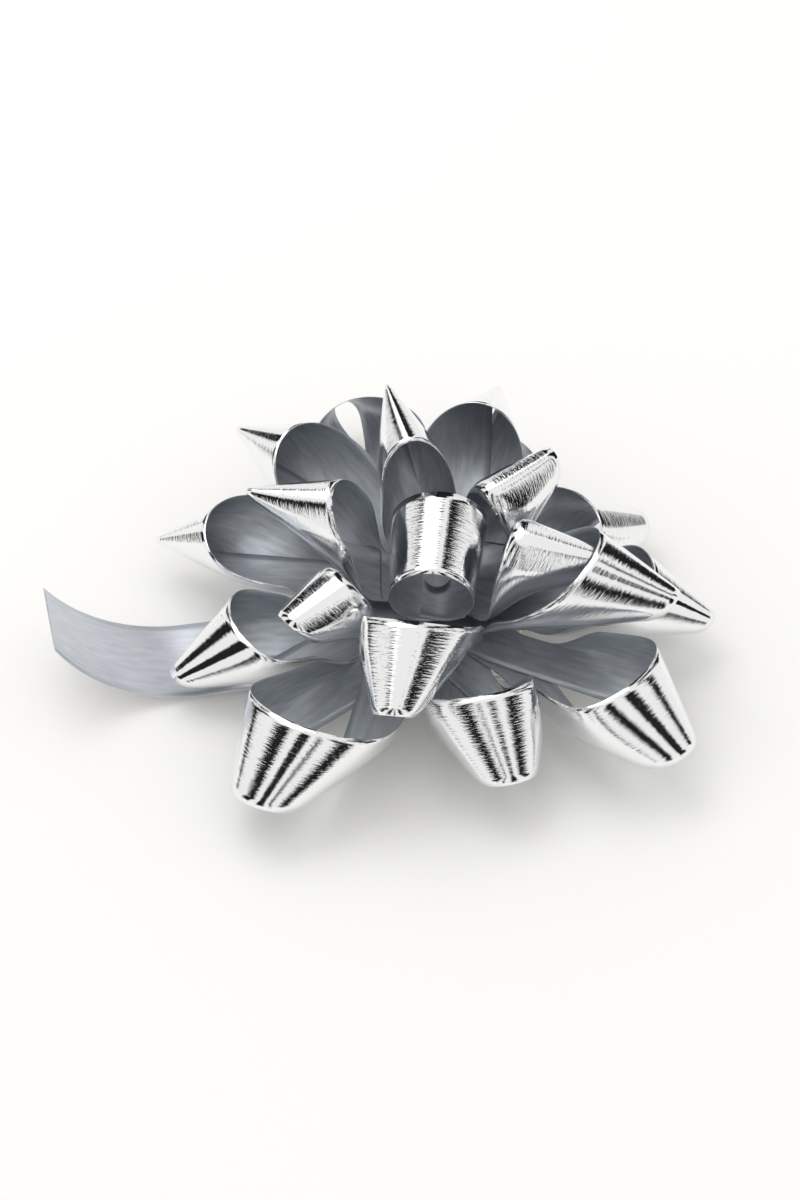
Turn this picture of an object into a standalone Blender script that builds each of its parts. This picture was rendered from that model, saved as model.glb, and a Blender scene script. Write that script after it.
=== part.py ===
"""A pre-made star bow: one metallised film ribbon wound into cone-shaped loops on a barbed post.

Metres, +Z up. The origin is on the post's axis, at the underside of the release liner, where the bow
rests. The ribbon passes over the post once between two loops, so the strip is divided there: each
loop is one node, pierced by the post at its start and butting against the next loop at its end.
"""

import math
from collections import namedtuple

import bmesh
import bpy
import numpy as np

# Ribbon
RIBBON_WIDTH = 0.019
FILM_THICKNESS = 0.00016
LAYER_GAP = 0.00024
TAB_REACH = 0.004
BUTT_GAP = 0.0012

# How the ribbon is gathered at the post, and where the tiers bend up
HUB_HALF_WIDTH = 0.005
BEND_START = 0.0072
BEND_RADIUS = 0.012
RISE_LENGTH = 0.010
SIDE_GAP = 0.0006
CROWD_MARGIN = 0.0015
WIDEST_SHARE = math.radians(38.0)

# Tiers of loops. The reach of a loop is the distance from the post to the point of its cone, its
# opening is the gap between the cone's point and the ribbon, and fullness is how far the loop is
# pressed flat. A tier leaves the hub at its tilt. A loop's own row gives its heading in degrees, what
# it adds to the tier's tilt in degrees, and its reach and opening as shares of the tier's.
Tier = namedtuple("Tier", "name reach opening fullness tilt loops")
BOTTOM = Tier(
    "bottom_loop",
    0.0600,
    0.0100,
    0.64,
    0,
    (
        (-160, -2, 0.93, 0.7),
        (30, -2, 0.90, 1.1),
        (-122, -3, 1.16, 1.4),
        (73, -2, 0.92, 0.4),
        (-74, -3, 0.95, 1.2),
        (108, -1, 1.08, 0.4),
        (-43, -3, 1.12, 1.2),
        (162, 0, 0.96, 0.2),
        (-5, -4, 0.92, 0.6),
    ),
)
MIDDLE = Tier(
    "middle_loop",
    0.0500,
    0.0050,
    0.78,
    20,
    (
        (139, -3, 1.08, 0.4),
        (-20, -3, 1.06, 1.4),
        (-143, -3, 0.90, 2.2),
        (75, -3, 1.00, 0.3),
        (-100, -8, 1.04, 1.6),
    ),
)
UPPER = Tier(
    "upper_loop",
    0.0430,
    0.0060,
    0.85,
    40,
    (
        (38, 0, 1.00, 1.6),
        (166, -9, 0.98, 0.3),
        (-16, -13, 0.95, 1.3),
        (106, 3, 1.00, 0.3),
    ),
)
CENTRE = Tier("centre_loop", 0.1204, 0.1080, 1.0, 0, ((-95, 0, 1.0, 1.0),))
TIERS = (BOTTOM, MIDDLE, UPPER, CENTRE)

# Base, pad and liner
SEAT_GAP = 0.0003
LINER_THICKNESS = 0.00025
LINER_SIDE = 0.025
LINER_TAB = 0.006
PAD_THICKNESS = 0.0015
PAD_SIDE = 0.024
DISC_RADIUS = 0.016
DISC_THICKNESS = 0.0010
DISC_EDGE = 0.0003
POST_RADIUS = 0.0012
POST_CLEARANCE = 0.0003
BARB_RADIUS = 0.0022
BARB_TIP_RADIUS = 0.0004
BARB_HEIGHT = 0.0028
BARB_LIP = 0.0005
BARB_PLAY = 0.0009

# Tail: the free start of the ribbon, flat to the bow's edge and then rolled up on a slanted line
TAIL_HEADING = -170
TAIL_REACH = 0.076
TAIL_FLAT = 0.046
TAIL_ROLL_RADIUS = 0.028
TAIL_SLANT = math.radians(20.0)
TAIL_LIFT = 0.0006
TAIL_CLEARANCE = 0.001
TAIL_DROP_LENGTH = 0.012

LAYER = FILM_THICKNESS + LAYER_GAP
PAD_BOTTOM = LINER_THICKNESS + SEAT_GAP
DISC_BOTTOM = PAD_BOTTOM + PAD_THICKNESS + SEAT_GAP
STACK_BOTTOM = DISC_BOTTOM + DISC_THICKNESS + SEAT_GAP + FILM_THICKNESS / 2

FAN_ROWS = 4
LEG_ROWS = 20
ACROSS = 2
FAN_SHARE = 0.4


def smooth(x):
    """A soft step from 0 at x = 0 to 1 at x = 1."""
    x = np.clip(x, 0.0, 1.0)
    return x * x * (3 - 2 * x)


def ramp(s, tilt, own_tilt, own_start):
    """Radius, height and slope at the distance s along a leg: flat, an arc, and the loop's own tilt."""
    along = np.linspace(0.0, 2 * BOTTOM.reach, 400)
    slope = math.copysign(1.0, tilt) * np.clip((along - BEND_START) / BEND_RADIUS, 0.0, abs(tilt))
    slope = slope + own_tilt * smooth((along - own_start) / RISE_LENGTH)
    step = along[1] - along[0]
    radius = np.cumsum(np.cos(slope)) * step - step
    height = np.cumsum(np.sin(slope)) * step
    return [np.interp(s, along, values) for values in (radius, height, slope)]


def loop_rows(offset, reach, width, past_post):
    """Where the rows across the strip start and end along it: a fan of cone lines, then the two legs.

    The starting leg goes on past the post by the tab; the ending leg by the distance given.
    """
    near, far = offset - width / 2, offset + width / 2
    half_length = math.sqrt(reach**2 - offset**2)
    fan = np.tan(np.linspace(0.0, math.atan(FAN_SHARE * half_length / far), FAN_ROWS + 1))

    def side(end):
        rows = []
        for edge in (near, far):
            last = edge * fan[-1]
            rows.append(np.concatenate([edge * fan, np.linspace(last, end, LEG_ROWS + 1)[1:]]))
        return np.array(rows)

    first = side(half_length + TAB_REACH)
    last = side(half_length + past_post)
    return np.concatenate([-first[:, :0:-1], last], axis=1)


def press(x, y, z, left, right):
    """Neighbours press a loop into its own share of the circle, and flat where the strips cross."""
    share = np.where(y > 0, math.tan(left), math.tan(right))
    room = np.maximum(HUB_HALF_WIDTH, share * x - SIDE_GAP)
    y = y / (1 + (np.abs(y) / room) ** 6) ** (1 / 6)
    crowded = (HUB_HALF_WIDTH + SIDE_GAP) / math.sin(min(left, right)) + CROWD_MARGIN
    z = z * smooth((np.hypot(x, y) - crowded) / RISE_LENGTH)
    return x, y, z, crowded


def cone_loop(reach, opening, fullness, tilt, own_tilt, left, right, onward, width=RIBBON_WIDTH):
    """Middle surface of one loop, as a grid of points, pointing along +X with its start at height 0.

    The strip is wrapped once round a cone: a straight strip whose middle passes the cone's point at
    the distance offset meets itself again at the distance reach, and that is where the post goes.
    Left and right are the loop's share of the circle on each side of its heading, and onward is the
    angle on to the next loop, whose start this loop's end meets beside the post.
    """
    offset = width / 2 + opening
    half_turn = math.acos(offset / reach)
    cone = math.asin(half_turn / math.pi)
    straight_on = math.pi + 2 * math.asin(offset / reach)
    lean = (width / 2 - HUB_HALF_WIDTH) * 2 * offset / reach
    misfit = HUB_HALF_WIDTH * abs(math.sin(onward - straight_on))
    lone = left + right > math.pi
    # A lone loop ends over its own start, where the post pierces both.
    past_post = TAB_REACH if lone else -TAB_REACH - BUTT_GAP - lean - misfit
    along_near, along_far = loop_rows(offset, reach, width, past_post)
    share = np.linspace(0.0, 1.0, ACROSS + 1)
    along = along_near[:, None] + (along_far - along_near)[:, None] * share
    away = (offset - width / 2 + width * share)[None, :] + 0 * along
    distance = np.hypot(along, away)
    angle = np.arctan2(along, away)
    turn = angle / math.sin(cone)
    x = reach - distance * (math.cos(cone) ** 2 - math.sin(cone) ** 2 * np.cos(turn))
    y = distance * math.sin(cone) * np.sin(turn)
    z = distance * math.cos(cone) * math.sin(cone) * (1 + np.cos(turn))
    # A leg stays in the plane of the seam once it has passed the seam.
    beyond = np.abs(angle) - half_turn
    past = beyond > 0
    x = np.where(past, reach - distance * np.cos(beyond), x)
    y = np.where(past, -np.sign(angle) * distance * np.sin(beyond), y)
    z = np.where(past, 0.0, z)
    z = fullness * z
    if not lone:
        x, y, z, crowded = press(x, y, z, left, right)
        s = np.hypot(x, y)
        radius, height, slope = ramp(s, tilt, own_tilt, crowded)
        bearing = np.arctan2(y, x)
        radius = radius - z * np.sin(slope)
        x = radius * np.cos(bearing)
        y = radius * np.sin(bearing)
        z = height + z * np.cos(slope)
    # The ending leg lies one layer above the starting leg.
    z = z + LAYER * smooth(0.5 + turn / math.pi)
    return np.stack([x, y, z], axis=-1)


def turned(points, heading):
    """Points turned about the post's axis."""
    c, s = math.cos(heading), math.sin(heading)
    x, y, z = np.moveaxis(points, -1, 0)
    return np.stack([x * c - y * s, x * s + y * c, z], axis=-1)


def material(name, colour, roughness, metallic):
    made = bpy.data.materials.new(name)
    made.use_nodes = True
    shader = made.node_tree.nodes["Principled BSDF"]
    shader.inputs["Base Color"].default_value = (*colour, 1.0)
    shader.inputs["Roughness"].default_value = roughness
    shader.inputs["Metallic"].default_value = metallic
    return made


def node(name, mesh, finish):
    """A visible object, shaded smooth except at its sharp edges."""
    piece = bpy.data.objects.new(name, mesh)
    bpy.context.scene.collection.objects.link(piece)
    mesh.materials.append(finish)
    mesh.shade_smooth()
    mesh.set_sharp_from_angle(angle=math.radians(35.0))
    return piece


def film(name, points, finish):
    """A strip of film: the grid of points as faces, thickened to both sides."""
    rows, columns = points.shape[:2]
    shape = bmesh.new()
    grid = [[shape.verts.new(p) for p in row] for row in points]
    for i in range(rows - 1):
        for j in range(columns - 1):
            corners = (grid[i][j], grid[i + 1][j], grid[i + 1][j + 1], grid[i][j + 1])
            for first, second, third in ((0, 1, 2), (0, 2, 3)):
                shape.faces.new((corners[first], corners[second], corners[third]))
    mesh = bpy.data.meshes.new(name)
    shape.to_mesh(mesh)
    shape.free()
    piece = node(name, mesh, finish)
    thick = piece.modifiers.new("film thickness", "SOLIDIFY")
    thick.thickness = FILM_THICKNESS
    thick.offset = 0.0
    return piece


def pierce(piece, cutter):
    cut = piece.modifiers.new("post hole", "BOOLEAN")
    cut.operation = "DIFFERENCE"
    cut.solver = "EXACT"
    cut.object = cutter


def hole_cutter(height):
    """The post's clearance hole, as one long cutter for every layer."""
    shape = bmesh.new()
    bmesh.ops.create_cone(
        shape,
        cap_ends=True,
        segments=16,
        radius1=POST_RADIUS + POST_CLEARANCE,
        radius2=POST_RADIUS + POST_CLEARANCE,
        depth=2 * height,
    )
    mesh = bpy.data.meshes.new("post_hole_cutter")
    shape.to_mesh(mesh)
    shape.free()
    cutter = bpy.data.objects.new("post_hole_cutter", mesh)
    bpy.context.scene.collection.objects.link(cutter)
    cutter.hide_render = True
    cutter.display_type = "WIRE"
    return cutter


def base(stack_top, finish):
    """Moulded disc and barbed post in one piece, as a turned profile."""
    top = DISC_BOTTOM + DISC_THICKNESS
    barb = stack_top + BARB_PLAY
    profile = [
        (0.0, barb + BARB_HEIGHT),
        (BARB_TIP_RADIUS, barb + BARB_HEIGHT),
        (BARB_RADIUS, barb + BARB_LIP),
        (BARB_RADIUS, barb),
        (POST_RADIUS, barb),
        (POST_RADIUS, top),
        (DISC_RADIUS - DISC_EDGE, top),
        (DISC_RADIUS, top - DISC_EDGE),
        (DISC_RADIUS, DISC_BOTTOM + DISC_EDGE),
        (DISC_RADIUS - DISC_EDGE, DISC_BOTTOM),
        (0.0, DISC_BOTTOM),
    ]
    shape = bmesh.new()
    corners = [shape.verts.new((x, 0.0, z)) for x, z in profile]
    edges = [shape.edges.new(pair) for pair in zip(corners, corners[1:])]
    bmesh.ops.spin(
        shape, geom=corners + edges, axis=(0, 0, 1), cent=(0, 0, 0), steps=32, angle=2 * math.pi
    )
    bmesh.ops.remove_doubles(shape, verts=shape.verts, dist=1e-6)
    bmesh.ops.recalc_face_normals(shape, faces=shape.faces)
    mesh = bpy.data.meshes.new("base_post")
    shape.to_mesh(mesh)
    shape.free()
    return node("base_post", mesh, finish)


def slab(name, outline, bottom, thickness, finish):
    """A flat piece of even thickness."""
    shape = bmesh.new()
    face = shape.faces.new([shape.verts.new((x, y, bottom)) for x, y in outline])
    lifted = bmesh.ops.extrude_face_region(shape, geom=[face])
    verts = [v for v in lifted["geom"] if isinstance(v, bmesh.types.BMVert)]
    bmesh.ops.translate(shape, verts=verts, vec=(0, 0, thickness))
    bmesh.ops.recalc_face_normals(shape, faces=shape.faces)
    mesh = bpy.data.meshes.new(name)
    shape.to_mesh(mesh)
    shape.free()
    return node(name, mesh, finish)


def rounded_square(side, corner, tab=0.0):
    """Outline of a square with round corners; a tab makes the +X side longer."""
    half = side / 2
    points = []
    for quarter, (sx, sy) in enumerate(((1, 1), (-1, 1), (-1, -1), (1, -1))):
        reach = half + (tab if sx > 0 else 0.0)
        for step in range(4):
            angle = math.radians(90 * quarter + 30 * step)
            points.append(
                (
                    sx * (reach - corner) + corner * math.cos(angle),
                    sy * (half - corner) + corner * math.sin(angle),
                )
            )
    return points


def tail_points():
    """Middle surface of the ribbon's free start: flat on the table, then rolled up on a slanted line."""
    along = np.concatenate(
        [
            np.linspace(-TAB_REACH, TAIL_FLAT, 9),
            np.linspace(TAIL_FLAT, TAIL_REACH, 11)[1:],
        ]
    )
    across = np.linspace(-RIBBON_WIDTH / 2, RIBBON_WIDTH / 2, ACROSS + 1)
    x, y = np.meshgrid(along, across, indexing="ij")
    spread = smooth((x - BEND_START) / (TAIL_FLAT / 2))
    y = y * (2 * HUB_HALF_WIDTH / RIBBON_WIDTH * (1 - spread) + spread)
    drop = smooth((x - DISC_RADIUS - TAIL_CLEARANCE) / TAIL_DROP_LENGTH)
    rest = FILM_THICKNESS / 2 + TAIL_LIFT
    z = STACK_BOTTOM + (rest - STACK_BOTTOM) * drop
    c, s = math.cos(TAIL_SLANT), math.sin(TAIL_SLANT)
    rolled = np.clip((x - TAIL_FLAT) * c + y * s, 0.0, None)
    shift = TAIL_ROLL_RADIUS * np.sin(rolled / TAIL_ROLL_RADIUS) - rolled
    lift = TAIL_ROLL_RADIUS * (1 - np.cos(rolled / TAIL_ROLL_RADIUS))
    return np.stack([x + shift * c, y + shift * s, z + lift], axis=-1)


def neighbours(headings, index):
    """A loop's share of the circle on its left and its right: half the angle to the next loop."""
    others = [(h - headings[index]) % 360 for i, h in enumerate(headings) if i != index]
    if not others:
        return math.pi, math.pi
    return [min(WIDEST_SHARE, math.radians(a / 2)) for a in (min(others), 360 - max(others))]


def top_layer_height():
    """Middle height of the topmost layer at the post: the tail's, and each tier's with one to spare."""
    layers = sum(1 + len(tier.loops) for tier in TIERS)
    return STACK_BOTTOM + layers * LAYER


def strip_shapes():
    """Name and middle surface of every strip of film, from the lowest at the post to the highest."""
    strips = [("ribbon_tail", turned(tail_points(), math.radians(TAIL_HEADING)))]
    layer = 0
    for tier in TIERS:
        headings = [row[0] for row in tier.loops]
        # A tier starts on a fresh layer, because its first loop needn't carry straight on.
        layer += 1
        for index, (heading, own_tilt, reach_share, opening_share) in enumerate(tier.loops):
            shape = cone_loop(
                tier.reach * reach_share,
                tier.opening * opening_share,
                tier.fullness,
                math.radians(tier.tilt),
                math.radians(own_tilt),
                *neighbours(headings, index),
                math.radians(headings[(index + 1) % len(headings)] - heading),
            )
            points = turned(shape, math.radians(heading))
            points = points + np.array([0.0, 0.0, STACK_BOTTOM + layer * LAYER])
            layer += 1
            strips.append((f"{tier.name}_{index + 1}" if len(headings) > 1 else tier.name, points))
    return strips


def main():
    for old in list(bpy.data.objects):
        bpy.data.objects.remove(old, do_unlink=True)
    silver = material("silver film", (0.80, 0.81, 0.83), 0.12, 1.0)
    plastic = material("clear white plastic", (0.86, 0.87, 0.88), 0.35, 0.0)
    foam = material("white foam", (0.90, 0.90, 0.88), 0.85, 0.0)
    paper = material("release paper", (0.93, 0.91, 0.84), 0.55, 0.0)

    strips = [film(name, points, silver) for name, points in strip_shapes()]
    stack_top = top_layer_height() + FILM_THICKNESS / 2
    cutter = hole_cutter(stack_top + BARB_PLAY)
    for strip in strips:
        pierce(strip, cutter)
    base(stack_top, plastic)
    slab("adhesive_pad", rounded_square(PAD_SIDE, 0.001), PAD_BOTTOM, PAD_THICKNESS, foam)
    slab(
        "release_liner",
        rounded_square(LINER_SIDE, 0.001, LINER_TAB),
        0.0,
        LINER_THICKNESS,
        paper,
    )


main()
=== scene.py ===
import math

import bpy
import numpy as np
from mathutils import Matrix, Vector


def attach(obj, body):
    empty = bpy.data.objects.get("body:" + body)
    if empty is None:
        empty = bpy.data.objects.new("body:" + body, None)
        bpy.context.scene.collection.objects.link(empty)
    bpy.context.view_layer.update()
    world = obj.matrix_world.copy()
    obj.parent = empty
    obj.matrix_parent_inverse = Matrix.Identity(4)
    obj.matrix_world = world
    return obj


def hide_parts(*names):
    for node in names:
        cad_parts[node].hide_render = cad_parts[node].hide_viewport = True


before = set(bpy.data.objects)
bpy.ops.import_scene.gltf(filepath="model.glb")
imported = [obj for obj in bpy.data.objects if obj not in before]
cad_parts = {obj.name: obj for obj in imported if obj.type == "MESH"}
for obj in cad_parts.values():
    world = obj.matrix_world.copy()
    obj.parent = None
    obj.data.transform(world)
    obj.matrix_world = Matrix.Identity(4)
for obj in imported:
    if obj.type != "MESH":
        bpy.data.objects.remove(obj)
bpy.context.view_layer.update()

# The table and the light. The bow lies on a pale paper sweep in a white room with a softbox. Tall
# dark flags stand round it, because a mirror film in a white room shows nothing but white: each
# cone shows them as black bands along its length.
PAPER_WHITE = (0.93, 0.925, 0.91)
FLOOR_SIDE = 6.0
ROOM_WHITE = (1.0, 0.995, 0.985)
ROOM_STRENGTH = 0.92
STAGE_SHEEN = 0.2


def flat_panel(name, centre, facing, width, height):
    """A rectangle of the given size with its middle at centre, turned to face the point facing."""
    middle = np.array(centre, float)
    out = np.array(facing, float) - middle
    out /= np.linalg.norm(out)
    lies_flat = abs(out[2]) > 0.999
    side = np.array((1.0, 0.0, 0.0)) if lies_flat else np.cross((0.0, 0.0, 1.0), out)
    side /= np.linalg.norm(side)
    up = np.cross(out, side)
    corners = [
        middle + side * width / 2 * a + up * height / 2 * b
        for a, b in ((-1, -1), (1, -1), (1, 1), (-1, 1))
    ]
    mesh = bpy.data.meshes.new(name)
    mesh.from_pydata([tuple(c) for c in corners], [], [(0, 1, 2, 3)])
    panel = bpy.data.objects.new(name, mesh)
    bpy.context.scene.collection.objects.link(panel)
    return panel


def plain_material(name, colour, roughness):
    """A matt material for the stage, the same all over."""
    made = bpy.data.materials.new(name)
    made.use_nodes = True
    shader = made.node_tree.nodes["Principled BSDF"]
    shader.inputs["Base Color"].default_value = (*colour, 1.0)
    shader.inputs["Roughness"].default_value = roughness
    shader.inputs["Specular IOR Level"].default_value = STAGE_SHEEN
    return made


floor = flat_panel("paper_sweep", (0, 0, 0), (0, 0, 1), FLOOR_SIDE, FLOOR_SIDE)
floor.data.materials.append(plain_material("sweep paper", PAPER_WHITE, 0.9))

FLAG_BLACK = (0.01, 0.01, 0.012)
FLAG_DISTANCE = 0.90
FLAG_HEIGHT = 1.9
FLAGS = (
    # direction in degrees, width, height of its middle
    (-162, 0.34, 0.55),
    (-122, 0.30, 0.85),
    (-96, 0.10, 0.85),
    (-66, 0.28, 0.85),
    (-24, 0.36, 0.55),
    (14, 0.16, 0.55),
    (48, 0.34, 0.55),
    (88, 0.36, 0.60),
    (126, 0.20, 0.60),
    (155, 0.30, 0.55),
)
flag_cloth = plain_material("flag cloth", FLAG_BLACK, 1.0)
for index, (direction, width, middle) in enumerate(FLAGS):
    angle = math.radians(direction)
    foot = (FLAG_DISTANCE * math.cos(angle), FLAG_DISTANCE * math.sin(angle), middle)
    flag = flat_panel(f"flag_{index + 1}", foot, (0, 0, middle), width, FLAG_HEIGHT)
    flag.data.materials.append(flag_cloth)
    flag.visible_camera = False
    flag.visible_shadow = False
    flag.visible_diffuse = False

world = bpy.data.worlds.new("white room")
world.use_nodes = True
world.node_tree.nodes["Background"].inputs["Color"].default_value = (*ROOM_WHITE, 1.0)
world.node_tree.nodes["Background"].inputs["Strength"].default_value = ROOM_STRENGTH
bpy.context.scene.world = world
bpy.context.scene.view_settings.view_transform = "Standard"

SOFTBOX_WIDTH, SOFTBOX_HEIGHT = 0.9, 0.7
SOFTBOX_PLACE = Vector((-0.35, 0.45, 1.0))
SOFTBOX_POWER = 3.0

key = bpy.data.lights.new("softbox", "AREA")
key.shape = "RECTANGLE"
key.size = SOFTBOX_WIDTH
key.size_y = SOFTBOX_HEIGHT
key.energy = SOFTBOX_POWER
key_object = bpy.data.objects.new("softbox", key)
key_object.location = SOFTBOX_PLACE
key_object.rotation_euler = (-SOFTBOX_PLACE).to_track_quat("-Z", "Y").to_euler()
bpy.context.scene.collection.objects.link(key_object)

# The camera looks down on the bow's front at about forty-five degrees, from a forearm's length.
CAMERA_DISTANCE = 0.420
CAMERA_ELEVATION = math.radians(45.0)
FOCAL_LENGTH = 66.9
LENS_SHIFT = (-37 / 1200, 32 / 1200)
SENSOR_HEIGHT = 36.0
NEAREST_VISIBLE = 0.01

lens = bpy.data.cameras.new("camera")
lens.sensor_fit = "VERTICAL"
lens.sensor_height = SENSOR_HEIGHT
lens.lens = FOCAL_LENGTH
lens.clip_start = NEAREST_VISIBLE
lens.shift_x, lens.shift_y = LENS_SHIFT
camera = bpy.data.objects.new("camera", lens)
camera.location = (
    0.0,
    -CAMERA_DISTANCE * math.cos(CAMERA_ELEVATION),
    CAMERA_DISTANCE * math.sin(CAMERA_ELEVATION),
)
camera.rotation_euler = (math.pi / 2 - CAMERA_ELEVATION, 0.0, 0.0)
bpy.context.scene.collection.objects.link(camera)
bpy.context.scene.camera = camera

# The film. Polyester ribbon, three quarters of an inch wide, metallised on one face. The outside
# is a bright mirror with fine creases; the inside shows the metal through the film as a dull blue
# grey.
RIBBON_WIDTH = 0.019
FILM_THICKNESS = 0.00012
MIRROR_SILVER = (0.90, 0.905, 0.915)
MIRROR_METALLIC, MIRROR_ROUGHNESS = 1.0, 0.05
DULL_METALLIC, DULL_ROUGHNESS = 0.55, 0.38
# The inner face's two greys for the loops are darker than the film's own grey: painted shade for
# the insides of the loops. The mottle between the two is the film's own uneven tone.
PAINTED_SHADE_BACK_DARK, PAINTED_SHADE_BACK_LIGHT = (0.36, 0.39, 0.43), (0.50, 0.53, 0.57)
# Each pattern's grains to the metre, along the strip and across it, and its detail.
CRACKLE = (420.0, 2600.0, 3.0)
RIPPLE = (130.0, 260.0, 2.0)
RUB = (90.0, 500.0, 4.0)
MOTTLE = (200.0, 900.0, 3.0)
# Each bump's strength and height in metres.
CREASE_BUMP = (0.5, 0.00009)
MOTTLE_BUMP = (0.2, 0.0001)
RUB_LEAST, RUB_RANGE = 0.02, 0.06
MOTTLE_SPAN = (0.3, 0.7)


class Wire:
    """One socket of a material's node tree, which can be used in sums like a number."""

    def __init__(self, tree, socket=None):
        self.tree = tree
        self.socket = socket

    def node(self, kind, settings=None, inputs=None, output=0):
        """Any node: its settings are set first, then the values or links of its sockets."""
        made = self.tree.nodes.new(kind)
        for name, value in (settings or {}).items():
            if name == "stops":
                for stop, (position, colour) in zip(stops_for(made, len(value)), value):
                    stop.position = position
                    stop.color = colour
            else:
                setattr(made, name, value)
        for name, value in (inputs or {}).items():
            if isinstance(value, Wire):
                self.tree.links.new(value.socket, made.inputs[name])
            else:
                made.inputs[name].default_value = value
        return Wire(self.tree, made.outputs[output])

    def sum_of(self, operation, other):
        return self.node("ShaderNodeMath", {"operation": operation}, {0: self, 1: other})

    def __add__(self, other):
        return self.sum_of("ADD", other)

    def __mul__(self, other):
        return self.sum_of("MULTIPLY", other)

    __radd__ = __add__
    __rmul__ = __mul__

    def to(self, shader, name):
        self.tree.links.new(self.socket, shader.inputs[name])


def stops_for(ramp_node, count):
    """The ramp's stops, with new ones added until there are enough."""
    stops = ramp_node.color_ramp.elements
    while len(stops) < count:
        stops.new(0.5)
    return stops


def new_finish(name, colour, metallic, roughness):
    """A material, its Principled shader, and a wire to build its nodes from."""
    made = bpy.data.materials.new(name)
    made.use_nodes = True
    shader = made.node_tree.nodes["Principled BSDF"]
    shader.inputs["Base Color"].default_value = (*colour, 1.0)
    shader.inputs["Metallic"].default_value = metallic
    shader.inputs["Roughness"].default_value = roughness
    return made, shader, Wire(made.node_tree)


def film_noise(start, along, across, detail):
    """Noise on the strip's own coordinates, with so many grains to the metre along and across."""
    place = start.node("ShaderNodeUVMap", {"uv_map": "strip"})
    scaled = start.node(
        "ShaderNodeMapping", None, {"Vector": place, "Scale": (along, across, 1.0)}
    )
    return start.node(
        "ShaderNodeTexNoise", None, {"Vector": scaled, "Scale": 1.0, "Detail": detail}
    )


def bump(start, height, strength, distance):
    return start.node(
        "ShaderNodeBump", None, {"Height": height, "Strength": strength, "Distance": distance}
    )


def tint(start, pattern, span, dark, light):
    """A colour from a pattern: dark up to the span's lower end and light from its upper end."""
    stops = ((span[0], (*dark, 1.0)), (span[1], (*light, 1.0)))
    return start.node("ShaderNodeValToRGB", {"stops": stops}, {"Fac": pattern})


def bright_film():
    """The metallised face: a mirror with long creases, rubbed a little duller in places."""
    made, shader, start = new_finish(
        "mirror film", MIRROR_SILVER, MIRROR_METALLIC, MIRROR_ROUGHNESS
    )
    creases = film_noise(start, *CRACKLE) + film_noise(start, *RIPPLE)
    bump(start, creases, *CREASE_BUMP).to(shader, "Normal")
    (film_noise(start, *RUB) * RUB_RANGE + RUB_LEAST).to(shader, "Roughness")
    return made


def dull_film(name, dark, light):
    """The other face: the metal seen through the film, mottled between a dark and a light grey."""
    made, shader, start = new_finish(name, dark, DULL_METALLIC, DULL_ROUGHNESS)
    mottle = film_noise(start, *MOTTLE)
    tint(start, mottle, MOTTLE_SPAN, dark, light).to(shader, "Base Color")
    bump(start, mottle, *MOTTLE_BUMP).to(shader, "Normal")
    return made


film_outside = bright_film()
# The loops' inner faces get the darker copy of the inner face, with painted shade.
film_inside_painted_shade = dull_film("film back", PAINTED_SHADE_BACK_DARK, PAINTED_SHADE_BACK_LIGHT)


NO_LENGTH = 1e-12


def strip_shell(name, points, along, across, inside, outside_up=True):
    """A closed strip of film from its middle surface: the surface moved half the thickness along
    its normals to either side, joined by a rim. Faces on the metallised side carry the bright
    finish, and the others the inside's."""
    rows, columns = points.shape[:2]
    normals = np.cross(np.gradient(points, axis=0), np.gradient(points, axis=1))
    normals /= np.linalg.norm(normals, axis=-1, keepdims=True) + NO_LENGTH
    if not outside_up:
        normals = -normals
    half = normals * FILM_THICKNESS / 2
    verts = np.concatenate([(points + half).reshape(-1, 3), (points - half).reshape(-1, 3)])
    index = np.arange(rows * columns).reshape(rows, columns)
    corners = [index[:-1, :-1], index[1:, :-1], index[1:, 1:], index[:-1, 1:]]
    quads = np.stack(corners, -1).reshape(-1, 4)
    border = np.concatenate([index[:, 0], index[-1, 1:], index[-2::-1, -1], index[0, -2:0:-1]])
    following = np.roll(border, -1)
    size = rows * columns
    rim = np.stack([border, border + size, following + size, following], -1)
    top, bottom = quads, quads[:, ::-1] + size
    if not outside_up:
        top, bottom, rim = top[:, ::-1], bottom[:, ::-1], rim[:, ::-1]
    faces = np.concatenate([top, bottom, rim])
    mesh = bpy.data.meshes.new(name)
    mesh.from_pydata(verts.tolist(), [], faces.tolist())
    place = np.stack([along, across], -1).reshape(-1, 2)
    place = np.concatenate([place, place])
    layer = mesh.uv_layers.new(name="strip")
    layer.data.foreach_set("uv", place[faces.ravel()].astype(np.float32).ravel())
    mesh.materials.append(film_outside)
    mesh.materials.append(inside)
    counts = [len(top), len(bottom), len(rim)]
    mesh.polygons.foreach_set("material_index", np.repeat([0, 1, 1], counts).astype(np.int32))
    mesh.polygons.foreach_set("use_smooth", np.repeat([True, True, False], counts))
    mesh.update()
    piece = bpy.data.objects.new(name, mesh)
    bpy.context.scene.collection.objects.link(piece)
    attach(piece, "bow")
    return piece


# The loops. The ribbon is wrapped once round a cone for each loop, so that its metallised face
# stays outside, and is pierced by the post where it meets itself. The loops of a tier press each
# other into their own shares of the circle; the tiers above bend up from the hub.
LAYER = 0.0004
STACK_BOTTOM = 0.00373
TAB_REACH = 0.004
BUTT_GAP = 0.0012
HUB_HALF_WIDTH = 0.005
BEND_START = 0.0072
BEND_RADIUS = 0.012
RISE_LENGTH = 0.010
SIDE_GAP = 0.0006
CROWD_MARGIN = 0.0015
WIDEST_SHARE = math.radians(38.0)
FAN_SHARE = 0.4
FAN_ROWS, LEG_ROWS, ACROSS = 20, 56, 12
LONGEST = 0.121
RAMP_STEPS = 400
PRESS_POWER = 6
STRETCH_PER_LAYER = 0.13

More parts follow.
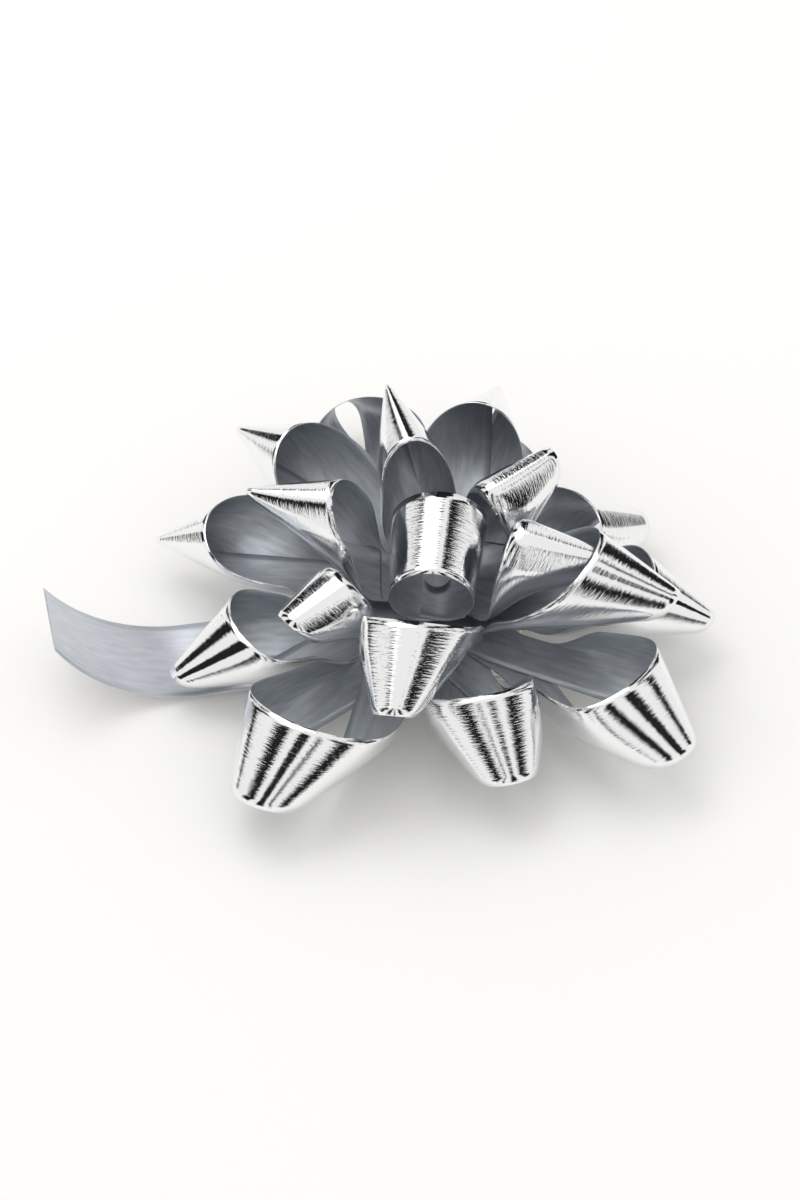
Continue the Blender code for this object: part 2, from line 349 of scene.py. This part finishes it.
# Each tier: name, reach, opening, fullness, tilt, and a row for each loop with its heading, its own
# tilt, and its reach and opening as shares of the tier's.
TIERS = (
    (
        "bottom_loop",
        0.0600,
        0.0100,
        0.64,
        0,
        (
            (-160, -2, 0.93, 0.7),
            (30, -2, 0.9, 1.1),
            (-122, -3, 1.16, 1.4),
            (73, -2, 0.92, 0.4),
            (-74, -3, 0.95, 1.2),
            (108, -1, 1.08, 0.4),
            (-43, -3, 1.12, 1.2),
            (162, 0, 0.96, 0.2),
            (-5, -4, 0.92, 0.6),
        ),
    ),
    (
        "middle_loop",
        0.0500,
        0.0050,
        0.78,
        20,
        (
            (139, -3, 1.08, 0.4),
            (-20, -3, 1.06, 1.4),
            (-143, -3, 0.9, 2.2),
            (75, -3, 1.0, 0.3),
            (-100, -8, 1.04, 1.6),
        ),
    ),
    (
        "upper_loop",
        0.0430,
        0.0060,
        0.85,
        40,
        (
            (38, 0, 1.0, 1.6),
            (166, -9, 0.98, 0.3),
            (-16, -13, 0.95, 1.3),
            (106, 3, 1.0, 0.3),
        ),
    ),
    ("centre_loop", 0.1204, 0.1080, 1.0, 0, ((-95, 0, 1.0, 1.0),)),
)


def soft_step(x):
    """0 below 0, 1 above 1, and x * x * (3 - 2 * x) between."""
    x = np.clip(x, 0.0, 1.0)
    return x * x * (3 - 2 * x)


def ramp(s, tilt, own_tilt, own_start):
    """Radius, height and slope at the distance s along a leg: the slope is nothing at first, grows
    along an arc to the tier's tilt, and then softly by the loop's own; radius and height sum up
    its cosine and its sine."""
    along = np.linspace(0.0, LONGEST, RAMP_STEPS)
    slope = math.copysign(1.0, tilt) * np.clip((along - BEND_START) / BEND_RADIUS, 0.0, abs(tilt))
    slope = slope + own_tilt * soft_step((along - own_start) / RISE_LENGTH)
    step = along[1] - along[0]
    radius = np.cumsum(np.cos(slope)) * step - step
    height = np.cumsum(np.sin(slope)) * step
    return [np.interp(s, along, values) for values in (radius, height, slope)]


def press(x, y, z, left, right):
    """Sideways, y is held within the loop's share of the circle, as y / (1 + (y / room) ** n) to
    the power 1 / n; upwards, z is nothing where the strips cross and grows to its full value over
    the rise length. The last value is how far out the strips still cross."""
    share = np.where(y > 0, math.tan(left), math.tan(right))
    room = np.maximum(HUB_HALF_WIDTH, share * x - SIDE_GAP)
    y = y / (1 + (np.abs(y) / room) ** PRESS_POWER) ** (1 / PRESS_POWER)
    crowded = (HUB_HALF_WIDTH + SIDE_GAP) / math.sin(min(left, right)) + CROWD_MARGIN
    return x, y, z * soft_step((np.hypot(x, y) - crowded) / RISE_LENGTH), crowded


def cone_strip(reach, opening, fullness, tilt, own_tilt, left, right, onward):
    """A straight strip wrapped once round a cone. On the unrolled cone, a point is at along and
    away from the cone's point; its distance and angle there become distance along the cone and
    the turn angle / sin(cone) round it. The cone's half angle is such that the strip's middle
    meets itself at the distance reach, over the post."""
    offset = RIBBON_WIDTH / 2 + opening
    half_turn = math.acos(offset / reach)
    cone = math.asin(half_turn / math.pi)
    half_length = math.sqrt(reach**2 - offset**2)
    straight_on = math.pi + 2 * math.asin(offset / reach)
    lean = (RIBBON_WIDTH / 2 - HUB_HALF_WIDTH) * 2 * offset / reach
    misfit = HUB_HALF_WIDTH * abs(math.sin(onward - straight_on))
    lone = left + right > math.pi
    # A lone loop ends over its own start, where the post pierces both.
    past_post = TAB_REACH if lone else -TAB_REACH - BUTT_GAP - lean - misfit
    fan_end = math.atan(FAN_SHARE * half_length / (offset + RIBBON_WIDTH / 2))
    fan = np.tan(np.linspace(0.0, fan_end, FAN_ROWS + 1))

    def side(edge, end):
        last = edge * fan[-1]
        return np.concatenate([edge * fan, np.linspace(last, end, LEG_ROWS + 1)[1:]])

    start, end = half_length + TAB_REACH, half_length + past_post
    edges = [
        np.concatenate([-side(edge, start)[:0:-1], side(edge, end)])
        for edge in (opening, opening + RIBBON_WIDTH)
    ]
    across = np.linspace(0.0, 1.0, ACROSS + 1)
    along = edges[0][:, None] + (edges[1] - edges[0])[:, None] * across
    away = (opening + RIBBON_WIDTH * across)[None, :] + 0 * along
    distance = np.hypot(along, away)
    angle = np.arctan2(along, away)
    turn = angle / math.sin(cone)
    x = reach - distance * (math.cos(cone) ** 2 - math.sin(cone) ** 2 * np.cos(turn))
    y = distance * math.sin(cone) * np.sin(turn)
    z = distance * math.cos(cone) * math.sin(cone) * (1 + np.cos(turn))
    # A leg stays flat once it has passed the place where the strip meets itself.
    beyond = np.abs(angle) - half_turn
    past = beyond > 0
    x = np.where(past, reach - distance * np.cos(beyond), x)
    y = np.where(past, -np.sign(angle) * distance * np.sin(beyond), y)
    z = fullness * np.where(past, 0.0, z)
    if not lone:
        x, y, z, crowded = press(x, y, z, left, right)
        radius, height, slope = ramp(np.hypot(x, y), tilt, own_tilt, crowded)
        bearing = np.arctan2(y, x)
        radius = radius - z * np.sin(slope)
        z = height + z * np.cos(slope)
        x, y = radius * np.cos(bearing), radius * np.sin(bearing)
    # The ending leg lies one layer above the starting leg.
    z = z + LAYER * soft_step(0.5 + turn / math.pi)
    return np.stack([x, y, z], axis=-1), along, away


def shares(headings, index):
    """A loop's share of the circle on its left and its right: half the angle to the next loop, and
    no more than the widest share. A loop with no neighbour has the whole circle."""
    others = [(h - headings[index]) % 360 for i, h in enumerate(headings) if i != index]
    if not others:
        return math.pi, math.pi
    return [min(WIDEST_SHARE, math.radians(a / 2)) for a in (min(others), 360 - max(others))]


def about_post(points, heading):
    """Points turned about the post's axis by a heading in degrees."""
    c, s = math.cos(math.radians(heading)), math.sin(math.radians(heading))
    x, y, z = np.moveaxis(points, -1, 0)
    return np.stack([x * c - y * s, x * s + y * c, z], axis=-1)


layer = 0
for tier_name, reach, opening, fullness, tilt, rows in TIERS:
    headings = [row[0] for row in rows]
    layer += 1
    for index, (heading, own_tilt, reach_share, opening_share) in enumerate(rows):
        name = f"{tier_name}_{index + 1}" if len(rows) > 1 else tier_name
        surface, along, away = cone_strip(
            reach * reach_share,
            opening * opening_share,
            fullness,
            math.radians(tilt),
            math.radians(own_tilt),
            *shares(headings, index),
            math.radians(headings[(index + 1) % len(headings)] - heading),
        )
        surface = about_post(surface, heading)
        surface = surface + np.array([0.0, 0.0, STACK_BOTTOM + layer * LAYER])
        layer += 1
        # Every loop comes from another stretch of ribbon, so its creases differ.
        stretch = along + STRETCH_PER_LAYER * layer
        loop = strip_shell(f"{name}_film", surface, stretch, away, film_inside_painted_shade)
        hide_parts(name)

# The tail. The free start of the ribbon runs out under the loops, flat on the table, and rolls up
# towards its cut end. Its dull side is uppermost.
TAIL_HEADING = -170
TAIL_REACH = 0.076
TAIL_FLAT = 0.046
TAIL_ROLL_RADIUS = 0.028
TAIL_SLANT = math.radians(8.0)
TAIL_REST = 0.00068
TAIL_DROP_START = 0.017
TAIL_DROP_LENGTH = 0.012
TAIL_ROWS = 120
# A lighter copy of the same inner face for the tail: painted light, the film's grey as it looks lit
# on the table, where the loops' copy is darkened as painted shade.
PAINTED_LIT_BACK_DARK, PAINTED_LIT_BACK_LIGHT = (0.60, 0.63, 0.69), (0.72, 0.75, 0.80)


def tail_surface():
    """A flat strip that narrows to the hub, drops softly to the table, and past a slanted line is
    rolled on a cylinder: a distance rolled becomes radius * sin of its angle along the table, and
    radius * (1 - cos) above it."""
    along = np.linspace(-TAB_REACH, TAIL_REACH, TAIL_ROWS + 1)
    across = np.linspace(-RIBBON_WIDTH / 2, RIBBON_WIDTH / 2, ACROSS + 1)
    u, v = np.meshgrid(along, across, indexing="ij")
    spread = soft_step((u - BEND_START) / (TAIL_FLAT / 2))
    y = v * (2 * HUB_HALF_WIDTH / RIBBON_WIDTH * (1 - spread) + spread)
    drop = soft_step((u - TAIL_DROP_START) / TAIL_DROP_LENGTH)
    z = STACK_BOTTOM + (TAIL_REST - STACK_BOTTOM) * drop
    c, s = math.cos(TAIL_SLANT), math.sin(TAIL_SLANT)
    rolled = np.clip((u - TAIL_FLAT) * c + y * s, 0.0, None)
    shift = TAIL_ROLL_RADIUS * np.sin(rolled / TAIL_ROLL_RADIUS) - rolled
    lift = TAIL_ROLL_RADIUS * (1 - np.cos(rolled / TAIL_ROLL_RADIUS))
    return np.stack([u + shift * c, y + shift * s, z + lift], axis=-1), u, v


surface, along, away = tail_surface()
surface = about_post(surface, TAIL_HEADING)
# The tail's inner face gets the lighter copy, with painted light.
film_back_painted_lit = dull_film("film back painted lit", PAINTED_LIT_BACK_DARK, PAINTED_LIT_BACK_LIGHT)
tail = strip_shell("ribbon_tail_film", surface, along, away, film_back_painted_lit, outside_up=False)
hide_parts("ribbon_tail")

# The base. A moulded disc with a barbed post, snapped up through the ribbon's hub, in natural
# polystyrene with a satin surface.
MOULDING_WHITE, MOULDING_ROUGHNESS = (0.86, 0.87, 0.88), 0.35
MOULDING_GRAIN = {"Scale": 900.0, "Detail": 3.0}
MOULDING_BUMP = (0.15, 0.0001)
MOULDING_LEAST, MOULDING_RANGE = 0.28, 0.2
OBJECT_PLACE = 3  # the output of Texture Coordinate that is the piece's own place in metres

moulding, shader, start = new_finish("moulded base", MOULDING_WHITE, 0.0, MOULDING_ROUGHNESS)
place = start.node("ShaderNodeTexCoord", output=OBJECT_PLACE)
grain = start.node("ShaderNodeTexNoise", None, {"Vector": place, **MOULDING_GRAIN})
bump(start, grain, *MOULDING_BUMP).to(shader, "Normal")
(grain * MOULDING_RANGE + MOULDING_LEAST).to(shader, "Roughness")
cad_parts["base_post"].data.materials[0] = moulding

# The pad. A square of white foam, sticky on both faces, that holds the base to the gift.
FOAM_WHITE, FOAM_ROUGHNESS = (0.90, 0.90, 0.88), 0.85
FOAM_CELLS = 2600.0
FOAM_BUMP = (0.5, 0.0002)
CELL_DARK, CELL_LIGHT = (0.78, 0.78, 0.75), (0.92, 0.92, 0.90)
CELL_SPAN = (0.0, 0.6)

foam, shader, start = new_finish("foam pad", FOAM_WHITE, 0.0, FOAM_ROUGHNESS)
place = start.node("ShaderNodeTexCoord", output=OBJECT_PLACE)
cells = start.node("ShaderNodeTexVoronoi", None, {"Vector": place, "Scale": FOAM_CELLS})
bump(start, cells, *FOAM_BUMP).to(shader, "Normal")
tint(start, cells, CELL_SPAN, CELL_DARK, CELL_LIGHT).to(shader, "Base Color")
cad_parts["adhesive_pad"].data.materials[0] = foam

# The liner. A slip of waxed paper with a pull tab, which covers the pad until the bow is stuck on.
WAXED_CREAM, WAXED_ROUGHNESS = (0.93, 0.91, 0.84), 0.5
WAXED_FIBRES = {"Scale": 700.0, "Detail": 6.0}
WAXED_BUMP = (0.2, 0.0001)
WAXED_LEAST, WAXED_RANGE = 0.35, 0.2
FIBRE_DARK, FIBRE_LIGHT = (0.90, 0.87, 0.78), (0.95, 0.93, 0.87)
FIBRE_SPAN = (0.35, 0.65)

waxed, shader, start = new_finish("waxed paper", WAXED_CREAM, 0.0, WAXED_ROUGHNESS)
place = start.node("ShaderNodeTexCoord", output=OBJECT_PLACE)
fibres = start.node("ShaderNodeTexNoise", None, {"Vector": place, **WAXED_FIBRES})
bump(start, fibres, *WAXED_BUMP).to(shader, "Normal")
tint(start, fibres, FIBRE_SPAN, FIBRE_DARK, FIBRE_LIGHT).to(shader, "Base Color")
(fibres * WAXED_RANGE + WAXED_LEAST).to(shader, "Roughness")
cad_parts["release_liner"].data.materials[0] = waxed
